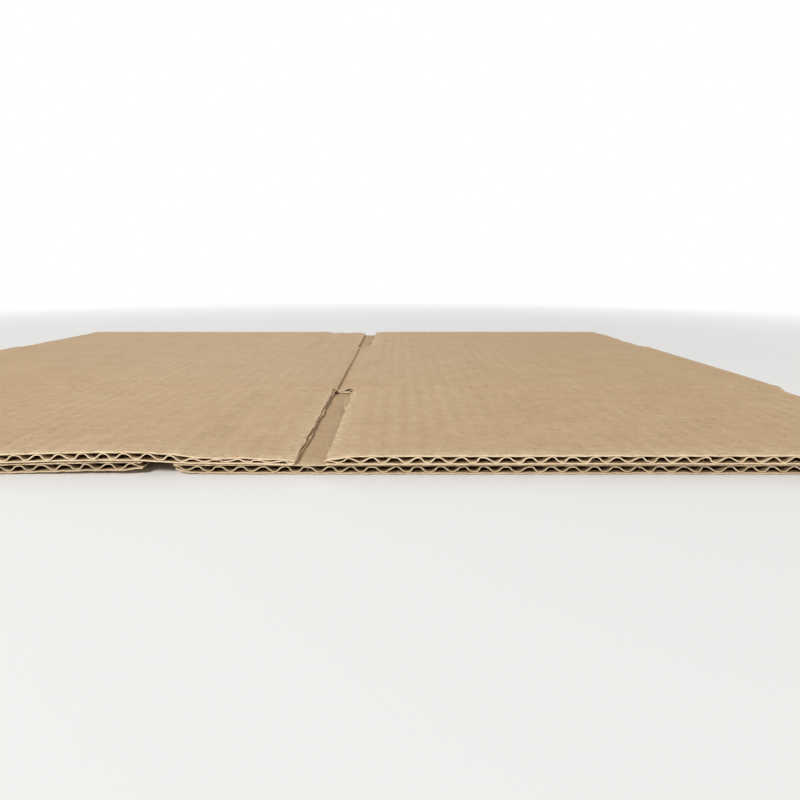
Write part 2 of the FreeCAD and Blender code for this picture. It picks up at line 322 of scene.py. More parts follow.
def upper_left_board(x, y):
    """Inner and outer face of the long panel and its flaps, with the crushed strip at the joint."""
    flap = in_flaps(y)
    strip = ease(x, *CRUSH_RAMP)
    over_lap = LAP_BOARD * ease(x, *LAP_RAMP) * (1 - flap)
    inner = BOARD + layers_part(x, y) + hump(x, y) + over_lap
    sag = SLOT_SAG * ease(x, *SAG_RAMP) * towards_front(y)
    height = BOARD - CRUSH_DEPTH * strip * flap - over_lap
    height = height - score_press(y) - ripple(x, LEFT_CREST) * (1 - RIPPLE_LOST * strip)
    height = pinched(height, x, y, LEFT_BRUISES)
    height = height - JOINT_PINCH * mound(x, JOINT_LEFT, JOINT_PINCH_REACH) * (1 - flap)
    height = height - CRUMPLE * strip * flap * (0.5 + 0.5 * wobble(x, 0.25 * y, 9, 44))
    height = np.maximum(height - dents(x, y, seed=42, count=26, depth=0.3), THINNEST)
    return inner - sag, inner - sag + height


def upper_right_board(x, y):
    """Inner and outer face of the short panel and its flaps, and of the lap that it ends in."""
    inner = BOARD + layers_part(x, y) + hump(x, y)
    in_panel = 1 - ease(np.abs(y), SCORE_Y, SCORE_Y + 1)
    lap = ease(-x, *LAP_BEND) * in_panel
    height = BOARD - (BOARD - LAP_BOARD) * lap
    height = height - score_press(y) * (1 - lap) - ripple(x, RIGHT_CREST) * (1 - lap)
    height = pinched(height, x, y, RIGHT_BRUISES)
    height = np.maximum(height - dents(x, y, seed=52, count=22, depth=0.3) * (1 - lap), THINNEST)
    return inner, inner + height


for board in (lower_board, upper_left_board, upper_right_board):
    print(board.__name__, *(round(float(z), 2) for z in board(10.0, -150.0)))

# %% [markdown]
# ## Turning grids of points into sheets
#
# A liner is a grid of points that follows the board around its folds, with the cells over the slots
# left out. It is made as a thin skin first. Solidify then gives it the thickness of paper and puts
# its rims, which are cut edges, on a third material.

# %% Helpers that make a sheet
SHARP_ANGLE = 38
RIM = 2


def skin(name, points, kept, wear):
    """An open mesh from a grid of points in mm. kept says which cells between the points exist."""
    rows, columns = points.shape[:2]
    corner = np.arange(rows * columns).reshape(rows, columns)
    cells = np.stack([corner[:-1, :-1], corner[1:, :-1], corner[1:, 1:], corner[:-1, 1:]], axis=-1)
    used, faces = np.unique(cells[kept], return_inverse=True)
    mesh = bpy.data.meshes.new(name)
    spots = points.reshape(-1, 3)[used] * MM
    mesh.from_pydata(spots.tolist(), [], faces.reshape(-1, 4).tolist())
    layer = mesh.attributes.new("wear", "FLOAT", "POINT")
    layer.data.foreach_set("value", wear.reshape(-1)[used].astype(np.float32))
    return new_object(name, mesh)


def finished(made):
    """Applies what is live on an object, smooths its faces and keeps its cut edges sharp."""
    evaluated = made.evaluated_get(bpy.context.evaluated_depsgraph_get())
    mesh = bpy.data.meshes.new_from_object(evaluated)
    made.modifiers.clear()
    made.data = mesh
    mesh.name = made.name
    mesh.shade_smooth()
    mesh.set_sharp_from_angle(angle=math.radians(SHARP_ANGLE))
    print(made.name, "triangles:", sum(len(face.vertices) - 2 for face in mesh.polygons))
    return made


def as_paper(made, thickness, front, back, rim):
    """Gives a skin the thickness of its paper, and its paint in front, behind and on the rims."""
    made.data.materials.clear()
    for material in (front, back, rim):
        made.data.materials.append(material)
    solid = made.modifiers.new("paper", "SOLIDIFY")
    solid.thickness = thickness * MM
    solid.offset = 0
    solid.use_quality_normals = True
    solid.material_offset = 1
    solid.material_offset_rim = RIM
    return finished(made)


print("papers, mm:", LINER, "and", MEDIUM)

# %% [markdown]
# ## Grid lines
#
# Along the flutes the lines lie close together at the cut edges and at the scores, where paper
# bends most, and far apart in between. Across the flutes the liners' lines are a fifth of a flute
# apart and the medium's a thirteenth, so that the wave comes out round.

# %% Grid lines along the flutes
near_edge = spaced(-END_Y, (-END_Y + 0.7, 0.35), (-END_Y + 5, 1.5), (-SCORE_Y - 12, 5.2))
around_score = spaced(-SCORE_Y - 12, (-SCORE_Y - 3, 2.3), (-SCORE_Y + 3, 0.75), (0, 6.5))
half_lines = np.concatenate([near_edge, around_score[1:]])
SHEET_Y = np.concatenate([half_lines, -half_lines[-2::-1]])
STEP_ACROSS = PITCH / 5


def cell_middles(lines):
    """The places halfway between grid lines."""
    return (lines[:-1] + lines[1:]) / 2


print("lines along the flutes:", len(SHEET_Y))

# %% [markdown]
# ## Wear
#
# Paper is rubbed pale where the box is handled and where it lies on something. Each sheet carries
# how worn it is as an attribute on its points, and the materials read it.

# %% How worn the paper is
END_WEAR_REACH = 3.0
SLOT_WEAR_REACH = 1.8
SCORE_WEAR, SCORE_WEAR_REACH = 0.3, 2.2
STRIPE_WEAR = 0.13
FOLD_WEAR = 0.55
FOLD_WEAR_RAMP = (FOLD_X - 3.0, FOLD_X - 0.4)


def wear_near(x, y, edges, crest):
    """How worn the paper is: most at the flap edges, the scores, and the slot edges given.

    Where a flute tip holds the liner up, a stripe along the flute is rubbed a little too.
    """
    ends = np.exp(-(END_Y - np.abs(y)) / END_WEAR_REACH)
    scores = SCORE_WEAR * mound(np.abs(y), SCORE_Y, SCORE_WEAR_REACH)
    stripes = STRIPE_WEAR * (1 + np.cos(2 * math.pi * (x - crest) / PITCH))
    stripes = stripes * (0.6 + 0.5 * wobble(x, y, 90, 15))
    slots = sum(np.exp(-np.abs(x - edge) / SLOT_WEAR_REACH) for edge in edges) * in_flaps(y)
    folds = FOLD_WEAR * ease(np.abs(x), *FOLD_WEAR_RAMP)
    return np.clip(ends + scores + slots + folds + stripes, 0, 1)


for y in (-END_Y, -SCORE_Y, 0.0):
    print("wear at", round(y, 1), round(float(wear_near(60.0, y, (CRUSH_END,), LEFT_CREST)), 2))

# %% [markdown]
# ## Paper
#
# Kraft paper is pulp: long fibres that mostly lie across the flutes, clouds of thicker and thinner
# pulp, and dark and pale specks. One node group holds that grain, and each paper in the box takes
# it with its own colours and amounts. It puts out a colour and a height, and the shader stays
# outside.

# %% Helpers that build node trees
COLOUR, NUMBER, VECTOR = "NodeSocketColor", "NodeSocketFloat", "NodeSocketVector"
GEOMETRY, MATERIAL, WHOLE = "NodeSocketGeometry", "NodeSocketMaterial", "NodeSocketInt"
WHITE = (1, 1, 1, 1)


def new_tree(kind, name, inputs, outputs):
    """A node group. Its sockets are given as name, type and, where there is one, default."""
    tree = bpy.data.node_groups.new(name, kind)
    for way, sockets in (("INPUT", inputs), ("OUTPUT", outputs)):
        for socket_name, socket_type, *default in sockets:
            socket = tree.interface.new_socket(socket_name, in_out=way, socket_type=socket_type)
            if default:
                socket.default_value = default[0]
    return tree


def fill(tree, socket, value):
    """Links a value to a socket if it comes from a node, and sets it otherwise."""
    if isinstance(value, bpy.types.NodeSocket):
        tree.links.new(value, socket)
    else:
        socket.default_value = value


def add(tree, kind, settings=None, **sockets):
    """Adds a node, sets its settings, and fills its inputs by name, or by number as n0 or n1."""
    node = tree.nodes.new(kind)
    for key, value in (settings or {}).items():
        setattr(node, key, value)
    for key, value in sockets.items():
        numbered = key[0] == "n" and key[1:].isdigit()
        fill(tree, node.inputs[int(key[1:]) if numbered else key.replace("_", " ")], value)
    return node


def math_node(tree, operation, first, second=0.0, clamp=False):
    """The output of a Math node."""
    settings = {"operation": operation, "use_clamp": clamp}
    return add(tree, "ShaderNodeMath", settings, n0=first, n1=second).outputs[0]


def plus(tree, first, second):
    """The output of a Math node that adds."""
    return math_node(tree, "ADD", first, second)


def minus(tree, first, second):
    """The output of a Math node that subtracts."""
    return math_node(tree, "SUBTRACT", first, second)


def times(tree, first, second):
    """The output of a Math node that multiplies."""
    return math_node(tree, "MULTIPLY", first, second)


def mixed(tree, share, first, second):
    """The output of a colour mix."""
    node = add(tree, "ShaderNodeMix", {"data_type": "RGBA"}, n0=share, n6=first, n7=second)
    return node.outputs[2]


def spread(tree, value, low, high, to_low=0.0, to_high=1.0):
    """The output of a Map Range node."""
    node = add(
        tree, "ShaderNodeMapRange", None, Value=value,
        From_Min=low, From_Max=high, To_Min=to_low, To_Max=to_high,
    )
    return node.outputs["Result"]


def noise(tree, place, scale, detail=4.0, rough=0.6, stretch=(1, 1, 1)):
    """The output of a noise texture over a place, stretched along an axis."""
    moved = add(tree, "ShaderNodeMapping", None, Vector=place, Scale=stretch)
    texture = add(
        tree, "ShaderNodeTexNoise", None,
        Vector=moved.outputs[0], Scale=scale, Detail=detail, Roughness=rough,
    )
    return texture.outputs[0]


print("node helpers ready")

# %% Node group for the grain of kraft paper
DARK_SPECK = (0.10, 0.055, 0.028, 1)
PALE_SPECK = (0.80, 0.68, 0.50, 1)

grain = new_tree(
    "ShaderNodeTree", "kraft grain",
    [
        ("Place", VECTOR, (0, 0, 0)),
        ("Paper", COLOUR, WHITE), ("Dark Pulp", COLOUR, WHITE), ("Pale Pulp", COLOUR, WHITE),
        ("Clouds", NUMBER, 0.5), ("Fibres", NUMBER, 0.5), ("Specks", NUMBER, 0.5),
        ("Scuffs", NUMBER, 0.0),
    ],
    [("Color", COLOUR), ("Height", NUMBER)],
)
given = grain.nodes.new("NodeGroupInput").outputs
place = given["Place"]
cloud = spread(grain, noise(grain, place, 95, 3.0, 0.55), 0.32, 0.68)
fine_cloud = spread(grain, noise(grain, place, 620, 3.0, 0.6, (0.6, 1, 1)), 0.3, 0.7)
both_clouds = plus(grain, times(grain, cloud, 0.6), times(grain, fine_cloud, 0.4))
tinted = mixed(
    grain, times(grain, both_clouds, given["Clouds"]), given["Paper"], given["Dark Pulp"],
)
fibre = noise(grain, place, 1500, 4.0, 0.65, (0.16, 1, 1))
long_fibre = noise(grain, place, 480, 2.0, 0.6, (0.10, 1, 1))
thread = plus(grain, times(grain, fibre, 0.6), times(grain, long_fibre, 0.4))
threads = times(grain, spread(grain, thread, 0.36, 0.64), given["Fibres"])
tinted = mixed(grain, threads, tinted, given["Pale Pulp"])
speck = noise(grain, place, 1050, 1.0, 0.5, (0.45, 1, 1))
for low, high, speck_colour in ((0.69, 0.74, DARK_SPECK), (0.30, 0.25, PALE_SPECK)):
    specks = times(grain, spread(grain, speck, low, high), given["Specks"])
    tinted = mixed(grain, specks, tinted, speck_colour)
rubbed = spread(grain, noise(grain, place, 26, 2.0, 0.5), 0.5, 0.66)
scratch = spread(grain, noise(grain, place, 900, 2.0, 0.5, (1, 0.03, 1)), 0.62, 0.74)
cross_scratch = spread(grain, noise(grain, place, 1000, 2.0, 0.5, (0.04, 1, 1)), 0.64, 0.76)
scuff = times(grain, rubbed, math_node(grain, "MAXIMUM", scratch, cross_scratch))
tinted = mixed(grain, times(grain, scuff, given["Scuffs"]), tinted, given["Pale Pulp"])
relief = plus(grain, thread, times(grain, fine_cloud, 0.35))
add(grain, "NodeGroupOutput", None, Color=tinted, Height=relief)
print("grain nodes:", len(grain.nodes))

# %% [markdown]
# ## Materials
#
# One finish for each kind of face: the outside of the box, its inside, the glued sides of the
# liners, the medium, and the pale cut edges. The glued sides, which face into the flutes, are
# painted darker as shade inside the flutes. The medium is a darker grey-brown of its own, partly
# painted shade there too. The medium and the cut edges of the lower layer are darker copies again,
# painted shade under the upper layer. Where paper is worn it is paler, and how worn it is comes
# from the wear attribute on each sheet. A kraft paper is given by its name and four colours: the
# paper, its dark and its pale pulp, and its worn places.

# %% Helpers that mix a kraft paper
RELIEF_DEPTH = 0.0001
PAPER_SPECULAR = 0.25


def srgb(red, green, blue):
    """A colour as seen, from 0 to 255, as the linear colour that a shader takes."""
    linear = []
    for value in (red, green, blue):
        share = value / 255
        linear.append(share / 12.92 if share <= 0.04045 else ((share + 0.055) / 1.055) ** 2.4)
    return (*linear, 1.0)


def new_material(name, rough):
    """A material, its node tree and its Principled shader."""
    material = bpy.data.materials.new(name)
    material.use_nodes = True
    shader = material.node_tree.nodes["Principled BSDF"]
    shader.inputs["Roughness"].default_value = rough
    return material, material.node_tree, shader


def kraft(name, paper, dark, pale, worn, clouds, fibres, specks, rough, bump, scuffs=0.0):
    """A kraft paper. worn is its colour where the wear attribute is 1."""
    material, tree, shader = new_material(name, rough)
    shader.inputs["Specular IOR Level"].default_value = PAPER_SPECULAR
    place = tree.nodes.new("ShaderNodeTexCoord").outputs["Object"]
    group = add(
        tree, "ShaderNodeGroup", {"node_tree": grain}, Place=place,
        Paper=paper, Dark_Pulp=dark, Pale_Pulp=pale,
        Clouds=clouds, Fibres=fibres, Specks=specks, Scuffs=scuffs,
    ).outputs
    wear = add(tree, "ShaderNodeAttribute", {"attribute_name": "wear"}).outputs["Fac"]
    patchy = spread(tree, noise(tree, place, 420, 4.0, 0.7), 0.38, 0.66)
    worn_share = math_node(tree, "MULTIPLY", wear, patchy, clamp=True)
    fill(tree, shader.inputs["Base Color"], mixed(tree, worn_share, group["Color"], worn))
    relief = add(
        tree, "ShaderNodeBump", None,
        Strength=bump, Distance=RELIEF_DEPTH, Height=group["Height"],
    )
    fill(tree, shader.inputs["Normal"], relief.outputs[0])
    return material


print("white, as a shader takes it:", srgb(255, 255, 255))

# %% The papers of the box
outer_kraft = kraft(
    "outer_kraft",
    srgb(190, 160, 122), srgb(163, 132, 95), srgb(210, 184, 148), srgb(226, 204, 169),
    clouds=0.6, fibres=0.4, specks=0.5, rough=0.78, bump=0.35, scuffs=0.45,
)
inner_kraft = kraft(
    "inner_kraft",
    srgb(182, 153, 117), srgb(154, 125, 90), srgb(202, 176, 141), srgb(216, 193, 159),
    clouds=0.6, fibres=0.4, specks=0.6, rough=0.85, bump=0.4, scuffs=0.2,
)
# The glued side of the liners faces into the flutes. Its dark colour is painted shade inside them.
glued_side_and_shade_kraft = kraft(
    "glued_side_and_shade_kraft",
    srgb(128, 100, 70), srgb(98, 74, 50), srgb(152, 124, 90), srgb(190, 162, 126),
    clouds=0.6, fibres=0.4, specks=0.5, rough=0.9, bump=0.4,
)
# The medium's own grey-brown, made darker still as painted shade inside the flutes.
fluted_kraft = kraft(
    "fluted_kraft",
    srgb(166, 135, 99), srgb(134, 105, 74), srgb(188, 159, 122), srgb(222, 197, 158),
    clouds=0.65, fibres=0.45, specks=0.6, rough=0.88, bump=0.45,
)
# A darker copy of the medium's paint for the lower layer: painted shade under the upper layer.
shaded_fluted_kraft = kraft(
    "shaded_fluted_kraft",
    srgb(128, 101, 72), srgb(100, 77, 53), srgb(152, 125, 92), srgb(190, 165, 130),
    clouds=0.65, fibres=0.45, specks=0.6, rough=0.88, bump=0.45,
)
cut_kraft = kraft(
    "cut_kraft",
    srgb(232, 205, 165), srgb(184, 152, 110), srgb(246, 226, 192), srgb(242, 220, 186),
    clouds=0.55, fibres=0.6, specks=0.4, rough=0.92, bump=0.7,
)
# A darker copy of the cut edge paint for the lower layer: painted shade under the upper layer.
shaded_cut_kraft = kraft(
    "shaded_cut_kraft",
    srgb(206, 181, 145), srgb(158, 131, 97), srgb(226, 204, 171), srgb(222, 200, 166),
    clouds=0.6, fibres=0.5, specks=0.5, rough=0.92, bump=0.7,
)
PAPERS = {"outer": outer_kraft, "inner": inner_kraft}
print("materials:", [m.name for m in bpy.data.materials])

# %% [markdown]
# ## Outer liner
#
# The outer liner is one paper. From the joint it runs left over the top, around the left fold, back
# underneath, around the right fold and over the top again to the joint, where it bends down and
# becomes the lap. It is made here as three sheets: one for the top of each panel with its fold, and
# one for the underside. They meet just inside the folds, and the underside has a coarser grid.

# %% Paths around the folds
FOLD_START = FOLD_X - TOP_Z / 2
FOLD_RADIUS = TOP_Z / 2 - LINER / 2
FOLD_FLATTENED, FOLD_UNEVEN = 0.10, 0.02
BEAD_RAMP = (FLAP_SIDE_X - 0.5, FOLD_START + 0.2)
SIDE_NAMES = {-1: "left", 1: "right"}


def upper_board(side):
    """The upper board on one side of the joint: -1 is the left and 1 the right."""
    return upper_left_board if side < 0 else upper_right_board


def outer_fold_points(side, angle, y):
    """Points of the outer liner around a fold."""
    start = np.full_like(y, side * FOLD_START)
    high = upper_board(side)(start, y)[1] - LINER / 2
    low = lower_board(start, y)[1] + LINER / 2
    share = (1 + np.sin(angle)) / 2
    uneven = FOLD_UNEVEN * wobble(y, angle * 10, 40, 61)
    squash = 1 - FOLD_FLATTENED * np.abs(np.sin(2 * angle)) + uneven
    x = side * (FOLD_START + FOLD_RADIUS * np.cos(angle) * squash)
    return x, low + (high - low) * share


def inner_fold_points(side, angle, y):
    """Points of the inner liner around the bead inside a fold."""
    start = np.full_like(y, side * FOLD_START)
    middle = (upper_board(side)(start, y)[0] + lower_board(start, y)[0]) / 2
    radius = FOLD_BEAD + LINER / 2
    centre = FOLD_X - FOLD_WALL - FOLD_BEAD
    return side * (centre + radius * np.cos(angle)), middle + radius * np.sin(angle)


def flat_z(board, face, x, y):
    """Height of a liner's middle on a flat stretch of board."""
    inner, outer = board(x, y)
    way = np.sign(outer - inner)
    if face == "outer":
        return outer - way * LINER / 2
    swell = ease(np.abs(x), *BEAD_RAMP) * (1 - in_flaps(y))
    return inner + way * (LINER / 2 + FOLD_BEAD * swell)


print("outer radius of a fold, mm:", round(FOLD_RADIUS, 2))

# %% The lap, and ragged edges
END_RAG_REACH, END_RAG_STEP = 0.5, 0.9
CORNER_CUT, CORNER_ACROSS, CORNER_ALONG = 0.9, 1.1, 3.0
SET_BACK_REACH = 2.5
SLOT_RAG_REACH, SLOT_RAG_STEP, SLOT_RAG_LONG_STEP = 0.4, 1.3, 5.0
AWAY_FROM_ZERO = 500
FLAP_EDGES = (CRUSH_END, SHORT_EDGE, -FLAP_SIDE_X, FLAP_SIDE_X)
LOWER_FLAP_EDGES = (*LOWER_EDGES, -FLAP_SIDE_X, FLAP_SIDE_X)


def lap_y(x, y):
    """The lap is narrower towards its free edge, so its grid lines draw together."""
    into = np.clip((UPPER_SLOT_X - x) / LAP_WIDTH, 0, 1)
    return y * (1 - into * LAP_BEVEL / SCORE_Y)


def front_rag(x, y, amount, seed):
    """Moves the outermost points along the flutes, so that no edge is straight or corner sharp."""
    to_end = END_Y - np.abs(y)
    near = np.exp(-to_end / END_RAG_REACH)
    corners = CORNER_CUT * np.exp(-(FLAP_SIDE_X - np.abs(x)) / CORNER_ACROSS)
    corners = corners * np.exp(-to_end / CORNER_ALONG)
    uneven = ragged(x + AWAY_FROM_ZERO, END_RAG_STEP, seed) - 0.6
    return np.sign(y) * (near * amount * uneven - corners)


def set_back(y, amount):
    """The layers' front edges aren't cut in one go, so some end a little behind the others."""
    return amount * np.exp(-(END_Y + y) / SET_BACK_REACH)


def slot_rag(x, y, edge, amount, seed):
    """Moves the points on a slot's edge across the flutes."""
    near = np.exp(-np.abs(x - edge) / SLOT_RAG_REACH) * in_flaps(y)
    along = y + AWAY_FROM_ZERO
    uneven = ragged(along, SLOT_RAG_STEP, seed)
    return near * amount * (uneven + 0.5 * ragged(along, SLOT_RAG_LONG_STEP, seed + 1))


print("lap's free edge ends at, mm:", round(float(lap_y(LAP_EDGE, SCORE_Y)), 1))

# %% Helpers that make the sides of a liner
FOLD_STEPS = 12
FOLD_TAIL = 1.5
LINER_END_RAG = 0.22
SLOT_RAG = 0.45
SIDE_RAG = 0.35
LEFT_SET_BACK = 0.3
LOWER_SET_BACK = 0.9
SIDE_SEEDS = {"outer": 70, "inner": 80}
UNDER_SEEDS = {"outer": 90, "inner": 96}


def liner_side(face, side):
    """One upper face of a liner with its fold: the long panel at -1, the short one and lap at 1."""
    board = upper_board(side)
    if side < 0:
        edge, crest, behind = CRUSH_END, LEFT_CREST, LEFT_SET_BACK
        flat = spaced(JOINT_LEFT, (edge, 0.9), (-FLAP_SIDE_X, STEP_ACROSS), (-FOLD_START, 1.0))
    else:
        edge, crest, behind = SHORT_EDGE, RIGHT_CREST, 0.0
        flat = spaced(
            LAP_EDGE, (JOINT_LEFT - 0.5, 2.6), (edge, 0.6),
            (FLAP_SIDE_X, STEP_ACROSS), (FOLD_START, 1.0),
        )
    x, y = np.meshgrid(flat, SHEET_Y, indexing="ij")
    if side > 0:
        y = np.where(x < UPPER_SLOT_X, lap_y(x, y), y)
    z = flat_z(board, face, x, y)
    seed = SIDE_SEEDS[face] + side
    x = x + slot_rag(x, y, edge, SLOT_RAG, seed)
    x = x + slot_rag(x, y, side * FLAP_SIDE_X, SIDE_RAG, seed + 4)
    angles = np.linspace(math.pi / 2, -math.pi / 2, FOLD_STEPS)[1:]
    bend_angle, bend_y = np.meshgrid(angles, SHEET_Y, indexing="ij")
    around = outer_fold_points if face == "outer" else inner_fold_points
    bend_x, bend_z = around(side, bend_angle, bend_y)
    tail = side * spaced(FOLD_START, (FLAP_SIDE_X - FOLD_TAIL, 1.2))[1:]
    tail_x, tail_y = np.meshgrid(tail, SHEET_Y, indexing="ij")
    tail_z = flat_z(lower_board, face, tail_x, tail_y)
    x, y = np.concatenate([x, bend_x, tail_x]), np.concatenate([y, bend_y, tail_y])
    z = np.concatenate([z, bend_z, tail_z])
    wear = wear_near(x, y, FLAP_EDGES, crest)
    y = y + front_rag(x, y, LINER_END_RAG, seed + 8) + set_back(y, behind)
    kept = np.ones((x.shape[0] - 1, x.shape[1] - 1), bool)
    middle = side * cell_middles(flat)
    beyond = (middle < side * edge) | (middle > FLAP_SIDE_X)
    not_flap = np.concatenate([beyond, np.ones(len(kept) - len(beyond), bool)])
    kept[np.ix_(not_flap, np.abs(cell_middles(SHEET_Y)) > SCORE_Y)] = False
    made = skin(f"{face}_liner_{SIDE_NAMES[side]}", np.stack([x, y, z], -1), kept, wear)
    # The face towards the flutes takes the dark glued-side paint, which is painted shade inside the
    # flutes.
    front, back = glued_side_and_shade_kraft, PAPERS[face]
    if (face == "outer") != (side < 0):
        front, back = back, front
    return as_paper(made, LINER, front, back, cut_kraft)


def liner_under(face):
    """The lower face of a liner, from fold to fold."""
    start = FLAP_SIDE_X - FOLD_TAIL
    across = spaced(
        -FLAP_SIDE_X, (-start, FOLD_TAIL), (LOWER_EDGES[0], 1.7), (LOWER_EDGES[1], 1.0),
        (start, 1.7), (FLAP_SIDE_X, FOLD_TAIL),
    )
    x, y = np.meshgrid(across, SHEET_Y, indexing="ij")
    z = flat_z(lower_board, face, x, y)
    seed = UNDER_SEEDS[face]
    for number, edge in enumerate(LOWER_FLAP_EDGES):
        x = x + slot_rag(x, y, edge, SLOT_RAG, seed + number)
    wear = wear_near(x, y, LOWER_FLAP_EDGES, LOWER_CREST)
    y = y + front_rag(x, y, LINER_END_RAG, seed + 5) + set_back(y, LOWER_SET_BACK)
    middle = cell_middles(across)
    in_flap = np.abs(cell_middles(SHEET_Y)) > SCORE_Y
    kept = np.ones((len(middle), len(in_flap)), bool)
    kept[np.ix_(np.abs(middle - LOWER_SLOT_X) < SLOT / 2, in_flap)] = False
    kept[np.ix_(np.abs(middle) > start, ~in_flap)] = False
    made = skin(f"{face}_liner_under", np.stack([x, y, z], -1), kept, wear)
    # The face towards the flutes takes the dark glued-side paint, which is painted shade inside the
    # flutes.
    front, back = glued_side_and_shade_kraft, PAPERS[face]
    if face == "inner":
        front, back = back, front
    # The lower layer's cut edges take the darker cut edge paint, which is painted shade under the
    # upper layer.
    return as_paper(made, LINER, front, back, shaded_cut_kraft)


print("steps around a fold:", FOLD_STEPS)

# %% Outer liner
outer_liners = [liner_side("outer", -1), liner_side("outer", 1), liner_under("outer")]

# %% [markdown]
# ## Inner liner
#
# The inner liner follows the same path on the other side of the flutes. Inside each fold it makes a
# small bead, because crushed board can't bend to nothing. Under the joint it carries the lap.

# %% Inner liner
inner_liners = [liner_side("inner", -1), liner_side("inner", 1), liner_under("inner")]

# %% [markdown]
# ## Fluted medium
#
# The flutes follow a rule, a wave that touches both liners in turn, so Geometry Nodes make it. The
# tree raises a flat grid into the wave and lets the flutes drift and lean a little, more so in the
# crushed strip beside the joint. The sheet is then pressed between the liners, where the board is
# thinner the wave is lower, and Solidify gives it its thickness.

# %% Sockets of the tree for the flutes
FLUTE_SIZES = (
    "Pitch", "Rise", "Crest", "Drift", "Lean",
    "Crush Start", "Crush End", "Crush Lean", "Slack", "Seed",
)
fluting = new_tree(
    "GeometryNodeTree", "fluting",
    [("Geometry", GEOMETRY), *((name, NUMBER) for name in FLUTE_SIZES), ("Material", MATERIAL)],
    [("Geometry", GEOMETRY)],
)
sizes = fluting.nodes.new("NodeGroupInput").outputs
here = add(fluting, "GeometryNodeInputPosition").outputs[0]
split = add(fluting, "ShaderNodeSeparateXYZ", None, Vector=here).outputs


def wander(scale, along, shift):
    """A smooth random number around zero that changes from flute to flute and slowly along them."""
    slowly = times(fluting, split[1], along)
    moved = add(fluting, "ShaderNodeCombineXYZ", None, X=split[0], Y=slowly)
    texture = add(
        fluting, "ShaderNodeTexNoise", {"noise_dimensions": "4D"},
        Vector=moved.outputs[0], W=plus(fluting, sizes["Seed"], shift), Scale=scale, Detail=1.0,
    )
    return minus(fluting, texture.outputs[0], 0.5)


print("sizes that shape the flutes:", len(FLUTE_SIZES))

# %% Geometry Nodes tree for the flutes
drifted = plus(fluting, split[0], times(fluting, wander(70.0, 0.12, 0.0), sizes["Drift"]))
turns = math_node(fluting, "DIVIDE", minus(fluting, drifted, sizes["Crest"]), sizes["Pitch"])
wave = math_node(fluting, "COSINE", times(fluting, turns, 2 * math.pi))
round_off = plus(fluting, times(fluting, wave, wave), 1.0)
square = math_node(fluting, "SQRT", math_node(fluting, "DIVIDE", 2.0, round_off))
shaped = times(fluting, wave, square)
after = math_node(fluting, "GREATER_THAN", split[0], sizes["Crush Start"])
before = math_node(fluting, "LESS_THAN", split[0], sizes["Crush End"])
crushed_here = times(fluting, times(fluting, after, before), sizes["Crush Lean"])
lean_here = plus(fluting, crushed_here, sizes["Lean"])
leaning = times(fluting, times(fluting, wander(120.0, 0.2, 3.0), lean_here), shaped)
full_height = times(fluting, times(fluting, shaped, sizes["Rise"]), 0.5)
slackness = math_node(fluting, "ABSOLUTE", wander(90.0, 0.15, 6.0))
short_by = times(fluting, slackness, sizes["Slack"])
height = times(fluting, full_height, minus(fluting, 1.0, short_by))
placed = add(
    fluting, "ShaderNodeCombineXYZ", None,
    X=plus(fluting, split[0], leaning), Y=split[1], Z=height,
).outputs[0]
raised = add(
    fluting, "GeometryNodeSetPosition", None, Geometry=sizes["Geometry"], Position=placed,
).outputs[0]
made_real = add(fluting, "GeometryNodeRealizeInstances", None, Geometry=raised).outputs[0]
coloured = add(
    fluting, "GeometryNodeSetMaterial", None, Geometry=made_real, Material=sizes["Material"],
).outputs[0]
add(fluting, "NodeGroupOutput", None, Geometry=coloured)
print("fluting nodes:", len(fluting.nodes))

# %% Helpers that run a tree and move points
def run_tree(made, tree, values):
    """Sets the tree's inputs by their identifiers, runs it and leaves a plain mesh."""
    modifier = made.modifiers.new(tree.name, "NODES")
    modifier.node_group = tree
    sockets = {s.name: s.identifier for s in tree.interface.items_tree if s.in_out == "INPUT"}
    for key, value in values.items():
        modifier[sockets[key]] = value
    return finished(made)


def spots_of(mesh):
    """The points of a mesh, one row each, in metres."""
    spots = np.empty(len(mesh.vertices) * 3)
    mesh.vertices.foreach_get("co", spots)
    return spots.reshape(-1, 3)


def move_spots(mesh, spots):
    """Puts the points of a mesh where the rows say."""
    mesh.vertices.foreach_set("co", spots.reshape(-1))
    mesh.update()


print("points in the outer liner's left sheet:", len(spots_of(outer_liners[0].data)))

# %% Helper that makes a medium
RISE = BOARD - 2 * LINER - MEDIUM
FLUTE_STEP = PITCH / 13
FLUTE_Y = np.concatenate([SHEET_Y[:6], SHEET_Y[6:-6:2], SHEET_Y[-6:]])
DRIFT = 3.0
LEAN = 2.4
CRUSHED_LEAN = 6.5
SLACK = 0.7
MEDIUM_END_RAG = 0.3
MEDIUM_SLOT_RAG = 0.28


def press_between_liners(mesh, board):
    """Moves a flat wave to its place in the board, lower where the board is thinner."""
    x, y, z = (spots_of(mesh) / MM).T
    inner, outer = board(x, y)
    way = np.sign(outer - inner)
    cover = LINER + MEDIUM / 2
    room = np.maximum(np.abs(outer - inner) - 2 * cover, 0.0)
    z = inner + way * (cover + room * (z / RISE + 0.5))
    move_spots(mesh, np.stack([x, y, z], -1) * MM)


